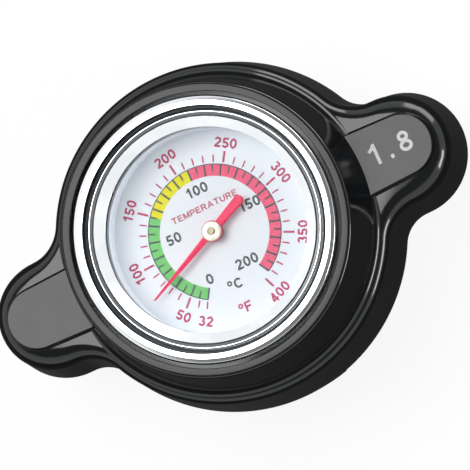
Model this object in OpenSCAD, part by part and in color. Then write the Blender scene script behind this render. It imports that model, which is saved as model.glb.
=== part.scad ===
// Radiator pressure cap with a round dial thermometer in its grip.
// The origin is on the axis in the plane of the filler neck's rim, +Z points out of the dial,
// and the two ears lie along X.

/* [Grip] */
// Radius of the round body at its lower edge
body_r = 28.3; // [27.6:0.1:30]
// Distance from the axis to the centre of each ear's round end
ear_x = 30.8; // [30:0.1:36]
// Radius of each ear's round end at its lower edge
ear_r = 10; // [9:0.1:11.5]
// Radius of the hollow corner between an ear and the round body
ear_fillet_r = 5.4; // [4:0.1:6.5]
// Height of the flange top above the neck rim
flange_z = 9.7; // [9:0.1:11]
// Radius of the rounded upper edge round the body
edge_r = 1.4; // [1:0.1:1.8]
// Radius of the rounded upper edge at the ears' ends
ear_edge_r = 3.4; // [2.6:0.1:3.8]
// Length along each ear over which the rounded edge widens
edge_blend = 10; // [8:0.5:11]
// How far the side walls lean in over their height
draft = 1.1; // [0.6:0.1:1.4]
// How far the skirt hangs below the neck rim
skirt_drop = 2.7; // [2:0.1:3.4]
// Break of the skirt's lower edge
skirt_break = 0.3; // [0.1:0.05:0.6]
// Wall round the hollow underside of each ear
ear_wall = 2.6; // [2:0.1:3.4]
// Depth of plastic over the hollow underside of each ear
ear_roof = 2.8; // [2:0.1:4]
// Thickness of the rib along the middle of each ear
rib_t = 2; // [1.2:0.1:4]
// Rise of the two flat pads above the flange
pad_rise = 0.9; // [0.4:0.1:1.5]
// Distance from the axis to the centre of each pad's round end
pad_x = 32.4; // [30:0.1:33]
// Radius of each pad's round end
pad_r = 5; // [4:0.1:5.6]
// Angle by which each side of a pad widens towards the collar
pad_taper = 2.2; // [0:0.1:4]
// Width of the flat ring on top of the collar
collar_land = 0.95; // [0.6:0.05:1.6]
// Radius of the collar's rounded top edge
collar_edge_r = 0.7; // [0.3:0.05:1]
// How much wider the collar is at the flange than at the top
collar_flare = 2.3; // [1.6:0.1:2.4]
// How far the collar's top stands above the bezel's inner rim
collar_over_rim = 1; // [0.4:0.1:1.4]
// Depth of the open gap round the bezel
gap_depth = 3.9; // [3.8:0.1:4.2]
// How far each apron hangs below the skirt
apron_drop = 4.8; // [2.8:0.1:5]
// Half of the angle that each apron covers
apron_half = 14.5; // [13.6:0.1:20]
// How far the apron's outer face stands in from the skirt's broken edge
apron_inset = 0.2; // [0.1:0.05:0.6]
// Thickness of the web between the gauge and the steel shell
web_t = 5.6; // [5:0.1:6.6]
// Thickness of web left above the cored rings on its underside
web_skin = 2.4; // [1.6:0.1:3]
// Width of each cored ring
core_w = 4.6; // [3:0.1:5]

/* [Gauge] */
// Radius of the dial that shows inside the bezel's rim
view_r = 16.15; // [15.4:0.05:16.6]
// Thickness of the bezel's rolled skirt
bezel_t = 0.55; // [0.4:0.05:0.7]
// Thickness of the bezel's inner rim
rim_t = 0.3; // [0.2:0.05:0.6]
// Width of the bezel's sloping inner face
bevel_w = 1.3; // [1.1:0.05:1.4]
// Radius of the ridge between the bezel's two grooves
ridge_r = 0.5; // [0.35:0.05:0.55]
// Radius of the bezel's outer roll on its outer side
roll_r = 1; // [0.7:0.05:1.1]
// Height of the bezel's outer roll above its inner rim
bezel_rise = 2; // [1.6:0.1:2.6]
// Open gap between the bezel and the collar
bezel_gap = 0.6; // [0.4:0.05:0.9]
// Thickness of the glass
lens_t = 1.6; // [1:0.1:2.4]
// Thickness of the glass gasket
lens_gasket_t = 0.7; // [0.4:0.1:1.2]
// Distance between the dial's face and the glass gasket
spacer_h = 4; // [3.4:0.1:6]
// Thickness of the spacer ring's wall
spacer_wall = 1.75; // [1:0.05:1.95]
// Thickness of the dial plate
dial_t = 0.4; // [0.3:0.05:0.8]
// Height of the ledge that carries the dial plate
ledge_h = 1.6; // [1.3:0.1:3]
// Wall of the gauge case
case_t = 0.7; // [0.5:0.05:0.9]
// Width of the gauge case's flange
case_flange_w = 1.45; // [1.3:0.05:1.7]
// Thickness of the gauge case's flange
case_flange_t = 0.6; // [0.5:0.05:0.8]
// Thickness of the seal under the gauge case
case_seal_t = 0.8; // [0.5:0.1:1.2]
// Width of the seal under the gauge case
case_seal_w = 6; // [4:0.1:8]
// Distance of that seal from the probe's flange
case_seal_gap = 2; // [1:0.1:3]
// Width of the probe's flange under the gauge case
probe_flange_w = 2; // [1.4:0.1:3]
// Height of the pointer above the dial's face
pointer_lift = 1.6; // [1.3:0.1:2]
// Thickness of the pointer
pointer_t = 0.35; // [0.2:0.05:0.6]
// Length of the pointer from the axis to its tip
pointer_len = 14.4; // [11:0.1:15]
// Length of the pointer's tail
tail_len = 7.2; // [4:0.1:9]
// Half width of the pointer's tail at its end
tail_half_w = 0.72; // [0.5:0.02:1.2]
// Direction of the pointer at rest, from the dial's top, positive to the right
pointer_rest = -115; // [-150:1:150]
// Radius of the pointer's boss
boss_r = 1.6; // [1.3:0.05:1.8]
// Radius of the spindle
spindle_r = 0.5; // [0.4:0.05:0.7]

/* [Probe] */
// Outer radius of the probe's shank where the valve parts turn on it
shank_r = 4; // [3.6:0.1:4.6]
// Outer radius of the probe's thread
thread_r = 3.4; // [3.2:0.05:3.5]
// Outer radius of the probe's tube
probe_r = 3; // [2.9:0.05:3.15]
// Bore of the probe, as a radius
probe_bore_r = 2.5; // [2.35:0.05:2.6]
// Thickness of the plug that closes the probe
plug_t = 1; // [0.8:0.1:1.6]
// Mean radius of the bimetal coil
coil_r = 1.9; // [1.7:0.05:2]
// Width of the bimetal strip
strip_w = 0.6; // [0.4:0.05:0.6]
// Thickness of the bimetal strip
strip_t = 0.3; // [0.2:0.05:0.35]
// Rise of the bimetal coil in one turn
coil_pitch = 1.4; // [1.35:0.05:1.5]
// Turns of the bimetal coil
coil_turns = 7; // [5:1:7]

/* [Shell and valves] */
// Outer radius of the steel shell
shell_r = 24.5; // [24:0.1:25]
// Thickness of the steel shell
shell_t = 0.9; // [0.7:0.05:1.2]
// How far the shell's edge stands above the skirt's edge
shell_recess = 0.5; // [0.2:0.1:1]
// Depth of the two tabs' upper faces below the neck rim
tab_z = 3.2; // [2.9:0.1:4]
// Inner radius of the two tabs
tab_r = 18.7; // [18.5:0.1:20]
// Half of the angle that each tab covers
tab_half = 13; // [8:0.5:13]
// Thickness of the neck gasket
gasket_t = 2; // [1.6:0.1:3]
// Width of the neck gasket
gasket_w = 3.65; // [2.5:0.05:3.75]
// Thickness of the disc spring
disc_t = 0.4; // [0.3:0.05:0.6]
// How far the disc spring stands out past the neck gasket
disc_over = 1.1; // [0.4:0.1:2.4]
// Outer radius of the pilot that centres the cap in the neck
pilot_r = 14.6; // [14.5:0.05:15]
// Length of the pilot below the neck rim
pilot_len = 3; // [2:0.1:4]
// Sheet thickness of the spring cup, the valve guide and the sleeve
sheet_t = 0.6; // [0.5:0.05:0.8]
// Outer radius of the valve guide's tube
guide_r = 7.9; // [7.6:0.05:8.1]
// Height of the sliding sleeve above its foot
sleeve_h = 6.9; // [6:0.1:8]
// Height of the sleeve's slots
slot_h = 3.5; // [2:0.1:4]
// Width of the sleeve's slots
slot_w = 4; // [2:0.1:6]
// Thickness of the washer under the nut
washer_t = 0.7; // [0.5:0.1:1]
// Width of the nut across its flats
nut_af = 10; // [9:0.1:11]
// Thickness of the nut
nut_t = 2.1; // [1.5:0.1:3]
// Height of the pressure spring as fitted
spring_h = 17; // [16.4:0.1:20]
// Wire diameter of the pressure spring
spring_wire = 2.2; // [1.8:0.1:2.2]
// Radial gap between the pressure spring and the cup
spring_gap = 0.6; // [0.5:0.05:0.8]
// Turns of the pressure spring
spring_turns = 4.25; // [3.25:0.25:4.25]
// Travel of the pressure valve
valve_lift = 4; // [2:0.1:4]
// Thickness of the pressure valve's plate
plate_t = 0.8; // [0.6:0.05:1.2]
// Thickness of the pressure seal
seal_t = 2.1; // [1.8:0.1:3]
// How far the pressure seal stays inside the pilot's radius
seal_inset = 0.6; // [0.4:0.05:0.8]
// Width of the pressure seal's raised sealing face
seal_face_w = 2.4; // [2:0.1:3.4]
// Thickness of the plate that clamps the pressure seal
clamp_t = 0.6; // [0.4:0.05:0.9]
// Radius of the vacuum valve's port
port_r = 3.2; // [2.8:0.1:3.3]
// Radius of the vacuum valve's stem
vac_stem_r = 0.9; // [0.7:0.05:1.1]
// Outer radius of the vacuum valve's disc
vac_disc_r = 5.6; // [5:0.1:7]
// Thickness of the vacuum valve's disc
vac_disc_t = 0.7; // [0.5:0.1:1.2]
// Thickness of the rubber facing on the vacuum valve
facing_t = 0.6; // [0.4:0.05:1]
// Height of the vacuum spring as fitted
vac_spring_h = 3.4; // [3.3:0.1:4]
// Wire diameter of the vacuum spring
vac_wire = 0.5; // [0.4:0.05:0.5]
// Mean radius of the vacuum spring
vac_mean_r = 4; // [3.9:0.05:4.2]
// Turns of the vacuum spring
vac_turns = 2.5; // [1.5:0.5:2.5]
// Thickness of the vacuum spring's collar
vac_collar_t = 0.5; // [0.4:0.05:0.8]

/* [Hidden] */
$fn = 96;
run_fit = 0.08; // radial gap of a shaft that turns or slides in a hole
press_gap = 0.05; // radial gap round a piece that is pushed home and stays
turn_gap = 0.1; // endwise gap beside a piece that turns
clear = 0.3; // gap between curved faces that never touch
eps = 0.01; // overshoot of a cut past the face it opens

// heights from the neck rim up to the dial
disc_z = gasket_t;
shell_z = disc_z + disc_t + turn_gap;
web_z = shell_z + shell_t;
seat_z = web_z + web_t;
case_z = seat_z + case_seal_t;
dial_z = case_z + case_t + ledge_h;
face_z = dial_z + dial_t;
lens_gasket_z = face_z + spacer_h;
lens_z = lens_gasket_z + lens_gasket_t;
lens_top_z = lens_z + lens_t;
rim_z = lens_top_z + rim_t;
collar_z = rim_z + collar_over_rim;
step_z = collar_z - gap_depth;
pad_z = flange_z + pad_rise;

// heights from the neck rim down to the vacuum valve
cup_top_z = disc_z;
guide_top_z = cup_top_z - sheet_t;
spring_top_z = guide_top_z;
washer_top_z = guide_top_z - sheet_t - turn_gap;
nut_top_z = washer_top_z - washer_t;
nut_z = nut_top_z - nut_t;
spring_z = spring_top_z - spring_h;
plate_top_z = spring_z - sheet_t;
plate_z = plate_top_z - plate_t;
seal_z = plate_z - seal_t;
clamp_step = 0.1; // how far the clamp plate stays above the sealing face
clamp_z = seal_z + clamp_step;
vac_top_z = plate_top_z + vac_spring_h + vac_collar_t;
vac_stem_over = 0.2; // the stem's end above its collar
probe_clear = 0.8; // the lifted vacuum valve stays this far below the probe
probe_end_z = vac_top_z + vac_stem_over + valve_lift + probe_clear;
sleeve_top_z = spring_z + sleeve_h;
thread_over = 0.4; // thread showing below the nut
plug_rim_t = 0.3;
bush_h = 1.2;
bush_head_t = 0.4;
bush_top_z = case_z + case_t + 0.6; // the probe's rim stands up this far inside the case
lip_z = sleeve_top_z - sheet_t; // the sleeve's lip rests on the guide's lip here

// radii of the gauge
spacer_gap = 0.4; // between the spacer ring and the case
inner_r = view_r + spacer_wall + spacer_gap;
case_r = inner_r + case_t;
case_bore_r = case_r + press_gap;
glass_r = inner_r - press_gap;
flange_r = case_r + case_flange_w;
crimp_r = flange_r + press_gap;
bezel_r = crimp_r + bezel_t;
recess_r = bezel_r + bezel_gap;
collar_r = recess_r + collar_land + collar_edge_r;
collar_foot_r = collar_r + collar_flare;
glass_over_case = 1.2; // how far the glass stands above the case flange
case_flange_z = lens_top_z - glass_over_case - case_flange_t;

// radii of the valves
shell_in_r = shell_r - shell_t;
gasket_in_r = pilot_r + press_gap;
gasket_r = gasket_in_r + gasket_w;
disc_r = gasket_r + disc_over;
pilot_wall = 0.7; // the cup's rim is folded and a little thicker than its sheet
cup_in_r = pilot_r - pilot_wall;
cup_neck_r = pilot_r - 0.4; // the cup is a little narrower above the neck rim
spring_mean_r = cup_in_r - spring_gap - spring_wire / 2;
seal_r = pilot_r - seal_inset;
clamp_gap = 0.4; // between the clamp plate and the seal's raised face
clamp_r = seal_r - seal_face_w - clamp_gap;
guide_in_r = guide_r - sheet_t;
guide_lip_r = guide_r + sheet_t;
sleeve_in_r = guide_lip_r + clear;
sleeve_r = sleeve_in_r + sheet_t;
foot_r = cup_in_r - clear;
seal_in_r = sleeve_in_r - 0.8;

// points along an arc, with or without its last one
function arc(c, r, a0, a1, n, last = true) =
    [for (i = [0 : last ? n : n - 1]) c + r * [cos(a0 + (a1 - a0) * i / n), sin(a0 + (a1 - a0) * i / n)]];

// centre of the hollow corner and the angle at which it meets the round body
corner_y = ear_r + ear_fillet_r;
corner_x = sqrt(pow(body_r + ear_fillet_r, 2) - corner_y * corner_y);
corner_a = atan2(corner_y, corner_x);
end_steps = 22;
corner_steps = 7;
body_steps = 30;

// the grip's outline seen from above, moved in by d
function outline(d) = concat(
    arc([ear_x, 0], ear_r - d, -90, 90, end_steps),
    arc([corner_x, corner_y], ear_fillet_r + d, 270, 180 + corner_a, corner_steps, false),
    arc([0, 0], body_r - d, corner_a, 180 - corner_a, body_steps, false),
    arc([-corner_x, corner_y], ear_fillet_r + d, -corner_a, -90, corner_steps),
    arc([-ear_x, 0], ear_r - d, 90, 270, end_steps),
    arc([-corner_x, -corner_y], ear_fillet_r + d, 90, corner_a, corner_steps, false),
    arc([0, 0], body_r - d, 180 + corner_a, 360 - corner_a, body_steps, false),
    arc([corner_x, -corner_y], ear_fillet_r + d, 180 - corner_a, 90, corner_steps));

// the upper edge's radius, which widens along each ear
edge_end_x = ear_x + ear_r / 3;
function widen(x) = max(0, min(1, (abs(x) - edge_end_x + edge_blend) / edge_blend));
function edge_at(x) = let (t = widen(x)) edge_r + (ear_edge_r - edge_r) * t * t * (3 - 2 * t);

// inward offset and height of the side wall's ring k, from the skirt's edge to the flange top,
// where the upper edge has the radius e
edge_steps = 7;
lower_rings = 3;
function wall_at(k, e) = k == 0 ? [skirt_break, -skirt_drop] : k == 1 ? [0, skirt_break - skirt_drop]
    : k == 2 ? [draft / 2, (flange_z - e - skirt_drop) / 2]
    : let (a = 90 * (k - lower_rings) / edge_steps) [draft + e * (1 - cos(a)), flange_z - e * (1 - sin(a))];
base = outline(0);
inward = outline(1) - base;
function wall_ring(k) = [for (i = [0 : len(base) - 1]) let (w = wall_at(k, edge_at(base[i][0])))
    [base[i][0] + w[0] * inward[i][0], base[i][1] + w[0] * inward[i][1], w[1]]];

// triangles that close a ring of n points: a fan for a round one, and for a ring that mirrors
// itself about X, strips between the points either side, from the point that lies on the axis
function fan(n) = [for (i = [1 : n - 2]) [0, i, i + 1]];
function strips(n, on_axis) = [for (k = [0 : n / 2 - 1])
    let (a = on_axis + k, b = (a + 1) % n, c = (2 * on_axis - b + n) % n, d = (2 * on_axis - a + n) % n)
    each k == 0 ? [[a, b, c]] : k == n / 2 - 1 ? [[a, b, d]] : [[a, b, c], [a, c, d]]];

// a closed skin through rings of points that all turn the same way
module skin(rings, cap) {
    n = len(rings[0]);
    last = (len(rings) - 1) * n;
    sides = [for (k = [0 : n : last - n]) for (i = [0 : n - 1]) let (j = (i + 1) % n)
        each [[k + i, k + n + i, k + n + j], [k + i, k + n + j, k + j]]];
    high = [for (f = cap) [last + f[2], last + f[1], last + f[0]]];
    polyhedron(points = [for (ring = rings) each ring], faces = concat(sides, cap, high));
}

// a ring turned from a closed profile of [radius, height] points
module turned(profile) {
    rotate_extrude() polygon(profile);
}

// a plain ring with its lower face at z
module band(r_in, r_out, z, h) {
    translate([0, 0, z]) difference() {
        cylinder(r = r_out, h = h);
        translate([0, 0, -eps]) cylinder(r = r_in, h = h + 2 * eps);
    }
}

// a ring section that covers an angle either side of a direction
module sector(r_in, r_out, z, h, middle, half) {
    rotate([0, 0, middle - half]) rotate_extrude(angle = 2 * half)
        translate([r_in, z]) square([r_out - r_in, h]);
}

// centre of a coiled wire after t of its n turns, with its ends drawn in flat
flat_turn = 0.5;
function coil_rise(t, n) = (t < flat_turn ? t * t / (2 * flat_turn)
    : t > n - flat_turn ? n - flat_turn - (n - t) * (n - t) / (2 * flat_turn)
    : t - flat_turn / 2) / (n - flat_turn);
function coil_centre(t, n, r, z0, z1) =
    [r * cos(360 * t), r * sin(360 * t), z0 + (z1 - z0) * coil_rise(t, n)];
curl_rings = 16;
function coil_centres(n, r, z0, z1) =
    [for (i = [0 : n * curl_rings]) coil_centre(i / curl_rings, n, r, z0, z1)];
function unit(v) = v / norm(v);

// rings of a coiled wire: half_r and half_z are its half thickness along and across the radius
wire_sides = 6;
function coil_rings(n, r, z0, z1, half_r, half_z) =
    [for (i = [0 : n * curl_rings])
        let (t = i / curl_rings, c = coil_centre(t, n, r, z0, z1),
            ahead = coil_centre(min(t + 0.01, n), n, r, z0, z1),
            behind = coil_centre(max(t - 0.01, 0), n, r, z0, z1),
            along = unit(ahead - behind), out = [cos(360 * t), sin(360 * t), 0], up = cross(along, out))
        [for (k = [0 : wire_sides - 1]) let (a = 360 * k / wire_sides + 180 / wire_sides)
            c + half_r * cos(a) * out + half_z * sin(a) * up]];

// least gap between one turn of a wire and another, measured on its centre points
function least_gap(pts, thick) =
    min([for (i = [0 : len(pts) - 1]) for (j = [i + curl_rings - 2 : 1 : len(pts) - 1])
        norm(pts[i] - pts[j])]) - thick;

// the moulded grip: skirt, ears, pads, collar and the two aprons over the shell's tabs
module grip_body() {
    pocket_r = ear_r - ear_wall;
    pocket_z = flange_z - ear_roof;
    pocket_x = body_r - 1;
    core_top_z = seat_z - web_skin;
    color("#111214") difference() {
        union() {
            skin([for (k = [0 : lower_rings + edge_steps]) wall_ring(k)], strips(len(base), end_steps / 2));
            collar();
            for (side = [0, 180]) rotate([0, 0, side]) pad();
            for (side = [90, 270]) sector(shell_r - 1, body_r - skirt_break - apron_inset,
                -skirt_drop - apron_drop, apron_drop + skirt_drop, side, apron_half);
        }
        translate([0, 0, step_z]) cylinder(r = recess_r, h = gap_depth + eps);
        translate([0, 0, seat_z]) cylinder(r = case_bore_r, h = step_z - seat_z + eps);
        translate([0, 0, web_z - eps]) cylinder(r = shank_r + press_gap, h = web_t + 2 * eps);
        translate([0, 0, -skirt_drop - apron_drop - eps])
            cylinder(r = shell_r + press_gap, h = web_z + skirt_drop + apron_drop + eps);
        for (k = [0 : 2]) {
            core_in = shank_r + 3 + k * (core_w + 1.2);
            band(core_in, core_in + core_w, web_z - eps, core_top_z - web_z);
        }
        for (side = [0, 180]) rotate([0, 0, side]) for (flip = [0, 1]) mirror([0, flip, 0])
            translate([0, 0, -skirt_drop - eps]) linear_extrude(pocket_z + skirt_drop + eps)
                polygon(concat([[pocket_x, rib_t / 2]],
                    [[ear_x + sqrt(pocket_r * pocket_r - rib_t * rib_t / 4), rib_t / 2]],
                    arc([ear_x, 0], pocket_r, asin(rib_t / 2 / pocket_r) + 1, 90, 12),
                    [[pocket_x, pocket_r]]));
    }
}

// the collar before its recess is cut, with a rounded top edge and a flared wall
module collar() {
    foot_z = flange_z - edge_r / 2;
    edge_c = [collar_r - collar_edge_r, collar_z - collar_edge_r];
    turned(concat([[0, foot_z], [collar_foot_r, foot_z]],
        arc(edge_c, collar_edge_r, 10, 90, 6), [[0, collar_z]]));
}

// a raised flat on an ear, running from its round end into the collar
module pad() {
    in_x = collar_r - 1;
    tip = [pad_x + pad_r * sin(pad_taper), pad_r * cos(pad_taper)];
    in_y = tip[1] + (tip[0] - in_x) * tan(pad_taper);
    translate([0, 0, flange_z - 1]) linear_extrude(pad_rise + 1)
        polygon(concat([[in_x, -in_y]], arc([pad_x, 0], pad_r, pad_taper - 90, 90 - pad_taper, 24),
            [[in_x, in_y]]));
}

// the stamped steel shell with its two turned-in bayonet tabs
module cap_shell() {
    edge = shell_recess - skirt_drop;
    top = shell_z + shell_t;
    bend = 1.6;
    strap_out_r = shell_r - 0.1;
    strap_in_r = shell_in_r + 0.1;
    strap_top = edge + 0.8;
    color("#b9bdc2") {
        turned(concat([[shank_r + press_gap, shell_z], [shank_r + press_gap, top]],
            arc([shell_r - bend, top - bend], bend, 90, 0, 6), [[shell_r, edge], [shell_in_r, edge]],
            arc([shell_in_r - bend + shell_t, shell_z - bend + shell_t], bend - shell_t, 0, 90, 4)));
        for (side = [90, 270]) rotate([0, 0, side - tab_half]) rotate_extrude(angle = 2 * tab_half)
            polygon([[tab_r, -tab_z - shell_t], [strap_out_r, -tab_z - shell_t], [strap_out_r, strap_top],
                [strap_in_r, strap_top], [strap_in_r, -tab_z], [tab_r, -tab_z]]);
    }
}

// the chromed bezel, rolled over the glass and crimped under the case flange
module gauge_bezel() {
    lip = 0.12;
    bevel_rise = bezel_rise / 2;
    land_w = 0.4;
    groove_w = 0.15;
    groove_d = 0.3;
    turn_in = 0.45;
    land_r = view_r + bevel_w + land_w;
    ridge_c = [land_r + groove_w + ridge_r, rim_z + bevel_rise - groove_d];
    inner_roll_c = [bezel_r - roll_r, rim_z + bezel_rise - turn_in];
    outer_roll_c = [bezel_r - roll_r, rim_z + bezel_rise - roll_r];
    crimp_z = case_flange_z - turn_gap;
    seat_top_z = case_flange_z + case_flange_t + turn_gap;
    color("#d9dcdf") turned(concat(
        [[view_r, lens_top_z], [view_r, rim_z - lip], [view_r + lip, rim_z]],
        [[view_r + bevel_w, rim_z + bevel_rise], [land_r, rim_z + bevel_rise]],
        arc(ridge_c, ridge_r, 180, 0, 8),
        arc(inner_roll_c, turn_in, 180, 90, 4, false), arc(outer_roll_c, roll_r, 90, 0, 8),
        [[bezel_r, crimp_z - bezel_t], [crimp_r - bezel_t, crimp_z - bezel_t],
            [crimp_r - bezel_t, crimp_z], [crimp_r, crimp_z], [crimp_r, seat_top_z],
            [glass_r + press_gap, seat_top_z], [glass_r + press_gap, lens_top_z]]));
}

// the flat glass over the dial
module glass_lens() {
    color("#dfeaf2", 0.3) translate([0, 0, lens_z]) cylinder(r = glass_r, h = lens_t);
}

// rubber ring between the glass and the spacer
module lens_gasket() {
    color("#26282a") band(view_r + clear, glass_r, lens_gasket_z, lens_gasket_t);
}

// pale ring that keeps the glass off the dial
module spacer_ring() {
    color("#dfe4ea") band(view_r, view_r + spacer_wall, face_z, spacer_h);
}

// the printed dial
module dial_plate() {
    color("#e9eef3") band(boss_r + clear, inner_r - spacer_gap / 2, dial_z, dial_t);
}

// the cup that holds the dial, the spacer and the glass
module gauge_case() {
    floor_z = case_z + case_t;
    top_z = case_flange_z + case_flange_t;
    color("#c9ced3") turned([[probe_r + press_gap, case_z], [case_r, case_z], [case_r, case_flange_z],
        [flange_r, case_flange_z], [flange_r, top_z], [inner_r, top_z], [inner_r, dial_z],
        [view_r + spacer_gap, dial_z], [view_r + spacer_gap, floor_z], [probe_r + press_gap, floor_z]]);
}

// rubber ring that the case sits on
module case_seal() {
    seal_in = shank_r + probe_flange_w + case_seal_gap;
    color("#1d1f21") band(seal_in, seal_in + case_seal_w, seat_z, case_seal_t);
}

// the probe: flange under the case, shank, thread and tube in one turned piece
module probe_tube() {
    flange_out_r = shank_r + probe_flange_w;
    thread_z = nut_z - thread_over;
    color("#c9a24e") turned([[probe_bore_r, probe_end_z], [probe_r, probe_end_z], [probe_r, thread_z],
        [thread_r, thread_z], [thread_r, washer_top_z], [shank_r, washer_top_z], [shank_r, seat_z],
        [flange_out_r, seat_z], [flange_out_r, case_z], [probe_r, case_z], [probe_r, bush_top_z],
        [probe_bore_r, bush_top_z]]);
}

// plug that closes the probe and holds the coil's lower end
module probe_plug() {
    color("#b08a3c") translate([0, 0, probe_end_z - plug_rim_t]) {
        cylinder(r = probe_bore_r - press_gap, h = plug_t + plug_rim_t);
        cylinder(r = probe_r, h = plug_rim_t);
    }
}

// the wound bimetal strip that turns the spindle as it warms
coil_z = probe_end_z + plug_t + strip_w / 2;
coil_end_z = coil_z + coil_pitch * (coil_turns - flat_turn);
module bimetal_coil() {
    color("#a97b52") skin(coil_rings(coil_turns, coil_r, coil_z, coil_end_z,
        strip_t / 2 / cos(30), strip_w / 2), fan(wire_sides));
}

// bushes that carry the spindle
collar_gap = 0.15;
spindle_z = coil_end_z + strip_w / 2 + clear;
spindle_collar_t = 0.45;
lower_bush_z = spindle_z + spindle_collar_t + collar_gap;
module upper_bush() {
    bore = spindle_r + run_fit;
    plug_r = probe_bore_r - press_gap;
    head_r = probe_r - press_gap;
    neck_r = boss_r - clear;
    head_z = bush_top_z + bush_head_t;
    color("#c8a860") turned([[bore, case_z - bush_h], [plug_r, case_z - bush_h], [plug_r, bush_top_z],
        [head_r, bush_top_z], [head_r, head_z], [neck_r, head_z], [neck_r, face_z + clear],
        [bore, face_z + clear]]);
}
module lower_bush() {
    color("#c8a860") band(spindle_r + run_fit, probe_bore_r - press_gap, lower_bush_z, bush_h);
}

// the spindle with the small collar that the coil turns
pointer_z = face_z + pointer_lift;
boss_t = 0.45;
module spindle() {
    top_z = pointer_z + pointer_t + boss_t + 0.3;
    color("#c4c7ca") translate([0, 0, spindle_z]) {
        cylinder(r = spindle_r, h = top_z - spindle_z);
        cylinder(r = coil_r - 0.4, h = spindle_collar_t);
    }
}

// the flat red pointer with its tapered needle and broad tail
module pointer() {
    tip_half = 0.16;
    root_half = 0.56;
    hub_r = boss_r + 0.12;
    color("#d9304f") translate([0, 0, pointer_z]) rotate([0, 0, 90 - pointer_rest])
        difference() {
            linear_extrude(pointer_t) union() {
                polygon([[0, -root_half], [pointer_len - tip_half, -tip_half], [pointer_len, 0],
                    [pointer_len - tip_half, tip_half], [0, root_half]]);
                polygon(concat([[0, root_half]],
                    arc([tail_half_w - tail_len, 0], tail_half_w, 90, 270, 8), [[0, -root_half]]));
                circle(r = hub_r);
            }
            translate([0, 0, -eps]) cylinder(r = spindle_r, h = pointer_t + 2 * eps);
        }
}

// the small metal boss on top of the pointer
module pointer_boss() {
    color("#d8d2c4") band(spindle_r, boss_r, pointer_z + pointer_t, boss_t);
}

// washer and nut that hold the probe, the grip and the shell together
module probe_washer() {
    color("#b5b8bb") band(thread_r + press_gap, shank_r + 2.4, nut_top_z, washer_t);
}
module probe_nut() {
    color("#c9a24e") translate([0, 0, nut_z]) difference() {
        cylinder(r = nut_af / 2 / cos(30), h = nut_t, $fn = 6);
        translate([0, 0, -eps]) cylinder(r = thread_r + press_gap, h = nut_t + 2 * eps);
    }
}

// thin spring disc that presses the gasket on the neck rim
module disc_spring() {
    color("#c6cace") band(shank_r + clear, disc_r, disc_z, disc_t);
}

// rubber ring that seals on the neck rim
module neck_gasket() {
    color("#18191b") band(gasket_in_r, gasket_r, 0, gasket_t);
}

// the cup whose rim centres the cap in the neck and holds the pressure spring's upper end
module spring_cup() {
    color("#c2c6ca") turned([[shank_r + run_fit, guide_top_z], [shank_r + run_fit, cup_top_z],
        [cup_neck_r, cup_top_z], [cup_neck_r, 0], [pilot_r, 0], [pilot_r, -pilot_len],
        [cup_in_r, -pilot_len], [cup_in_r, guide_top_z]]);
}

// the tube that guides the pressure valve, with the lip that stops it
module valve_guide() {
    color("#c2c6ca") turned([[shank_r + run_fit, guide_top_z - sheet_t], [shank_r + run_fit, guide_top_z],
        [guide_r, guide_top_z], [guide_r, lip_z], [guide_lip_r, lip_z], [guide_lip_r, lip_z - sheet_t],
        [guide_in_r, lip_z - sheet_t], [guide_in_r, guide_top_z - sheet_t]]);
}

// the main coil spring that holds the pressure valve on its seat
spring_lo = spring_z + spring_wire / 2;
spring_hi = spring_top_z - spring_wire / 2;
module pressure_spring() {
    color("#9da2a8") skin(coil_rings(spring_turns, spring_mean_r, spring_lo, spring_hi,
        spring_wire / 2, spring_wire / 2), fan(wire_sides));
}

// the flanged sleeve that slides on the guide, with slots for the coolant
module valve_sleeve() {
    color("#c2c6ca") difference() {
        turned([[sleeve_in_r, spring_z - sheet_t], [foot_r, spring_z - sheet_t], [foot_r, spring_z],
            [sleeve_r, spring_z], [sleeve_r, sleeve_top_z], [guide_r + run_fit, sleeve_top_z],
            [guide_r + run_fit, lip_z], [sleeve_in_r, lip_z]]);
        for (k = [0 : 2]) rotate([0, 0, 120 * k + 60])
            translate([sleeve_in_r - 1, -slot_w / 2, spring_z + 1]) cube([sheet_t + 2, slot_w, slot_h]);
    }
}

// the pressure valve's plate with the spider that guides the vacuum valve's stem
module pressure_plate() {
    ring_r = vac_stem_r + 0.8;
    arm_w = 1;
    color("#c2c6ca") {
        band(port_r, foot_r, plate_z, plate_t);
        difference() {
            union() {
                translate([0, 0, plate_z]) cylinder(r = ring_r, h = plate_t);
                for (k = [0 : 2]) rotate([0, 0, 120 * k]) translate([0, -arm_w / 2, plate_z])
                    cube([port_r + 0.4, arm_w, plate_t]);
            }
            translate([0, 0, plate_z - eps]) cylinder(r = vac_stem_r + run_fit, h = plate_t + 2 * eps);
        }
    }
}

// the rubber seal, stepped so that its outer ring reaches below the clamp plate
module pressure_seal() {
    color("#161719") turned([[seal_in_r, plate_z], [seal_r, plate_z], [seal_r, seal_z],
        [seal_r - seal_face_w, seal_z], [seal_r - seal_face_w, clamp_z + clamp_t],
        [seal_in_r, clamp_z + clamp_t]]);
}

// the plate that clamps the seal and forms the vacuum valve's seat
module seal_clamp() {
    color("#c2c6ca") turned([[port_r, clamp_z], [clamp_r, clamp_z], [clamp_r, clamp_z + clamp_t],
        [seal_in_r - press_gap, clamp_z + clamp_t], [seal_in_r - press_gap, plate_z], [port_r, plate_z]]);
}

// the vacuum valve: disc and stem in one piece, riveted over at the top
vac_seat_z = clamp_z;
module vacuum_valve() {
    disc_low_z = vac_seat_z - facing_t - vac_disc_t;
    color("#c9a24e") {
        translate([0, 0, disc_low_z]) cylinder(r = vac_disc_r, h = vac_disc_t);
        translate([0, 0, disc_low_z]) cylinder(r = vac_stem_r, h = vac_top_z + vac_stem_over - disc_low_z);
    }
}

// rubber facing between the vacuum valve and its seat
module vacuum_facing() {
    color("#1a1b1d") band(vac_stem_r + press_gap, vac_disc_r, vac_seat_z - facing_t, facing_t);
}

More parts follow.
